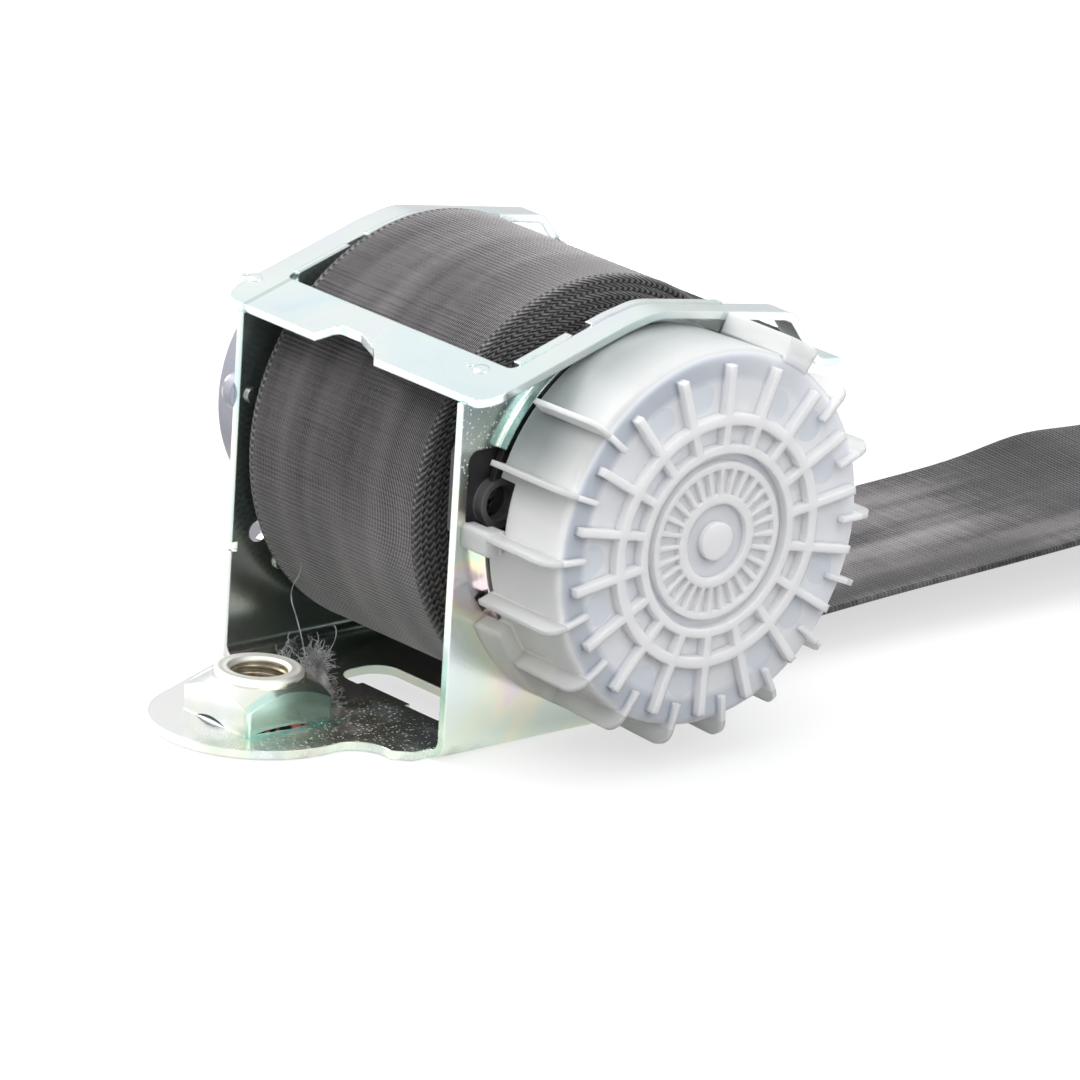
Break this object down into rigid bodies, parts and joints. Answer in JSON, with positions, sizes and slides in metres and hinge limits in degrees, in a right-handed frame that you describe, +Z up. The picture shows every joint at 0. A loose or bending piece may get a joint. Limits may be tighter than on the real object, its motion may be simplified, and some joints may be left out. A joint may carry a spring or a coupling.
{
  "type": "seat belt retractor",
  "caption": "Seat belt retractor with a steel frame, wound webbing, a ribbed spring cover, a locking side, a tongue and a floor anchor",
  "frame": {"origin": "axis of the anchor nut, on the underside of the back plate", "axes": "X along the spool towards the ribbed spring cover, Y along the belt as it leaves, Z up out of the back plate"},
  "size_m": [0.1073, 0.5198, 0.0789],
  "materials": {
    "zinc_steel": "zinc-plated, with a yellow and green shimmer",
    "plain_steel": "bright steel",
    "cast_core": "die-cast",
    "spring_steel": "blued",
    "black_plastic": "moulded",
    "grey_plastic": "moulded, dark violet-grey",
    "natural_plastic": "moulded, translucent natural white",
    "webbing": "woven polyester, dark grey-brown"
  },
  "bodies": {
    "housing": {"frame": "zinc_steel", "tie_plate": "zinc_steel", "weld_nut": "zinc_steel", "spring_plate": "black_plastic", "spring_cover": "natural_plastic", "power_spring": "spring_steel", "mechanism_cover": "grey_plastic", "cover_screws": "plain_steel", "bushing_left": "black_plastic", "pawl_pin": "plain_steel", "sensor_housing": "black_plastic", "webbing_free": "webbing", "stop_button": "black_plastic", "anchor_boot": "black_plastic", "anchor_plate": "zinc_steel"},
    "reel": {"spool": "cast_core", "torsion_bar": "plain_steel", "webbing_roll": "webbing", "ratchet_wheel": "plain_steel", "control_disc": "black_plastic", "spring_arbor": "natural_plastic", "webbing_pin": "plain_steel"},
    "pawl": {"lock_pawl": "plain_steel"},
    "inertia": {"inertia_lever": "plain_steel"},
    "ball": {"sensor_ball": "plain_steel"},
    "lever": {"sensor_lever": "natural_plastic"},
    "tongue": {"tongue_plate": "plain_steel", "tongue_grip": "black_plastic"}
  },
  "joints": [
    {"name": "spool_spin", "type": "hinge", "parent": "housing", "child": "reel", "pos_m": [0, 0.0526, 0.041], "axis": [1, 0, 0], "continuous": true},
    {"name": "pawl_swing", "type": "hinge", "parent": "housing", "child": "pawl", "pos_m": [-0.0312, 0.05821, 0.06741], "axis": [-1, 0, 0], "range_deg": [0, 12]},
    {"name": "inertia_swing", "type": "hinge", "parent": "reel", "child": "inertia", "pos_m": [-0.0373, 0.04085, 0.041], "axis": [1, 0, 0], "range_deg": [0, 12]},
    {"name": "ball_roll", "type": "slide", "parent": "housing", "child": "ball", "axis": [0, 0.866, 0.5], "range_m": [0, 0.001]},
    {"name": "sensor_lift", "type": "hinge", "parent": "housing", "child": "lever", "pos_m": [-0.039, 0.0496, 0.017], "axis": [-1, 0, 0], "range_deg": [0, 7]},
    {"name": "tongue_slide", "type": "slide", "parent": "housing", "child": "tongue", "axis": [0, 0.9999, 0.0136], "range_m": [-0.02, 0.02]}
  ],
  "couplings": [
    {"joint": "sensor_lift", "follows": "ball_roll", "rad_per_m": 122.17}
  ]
}
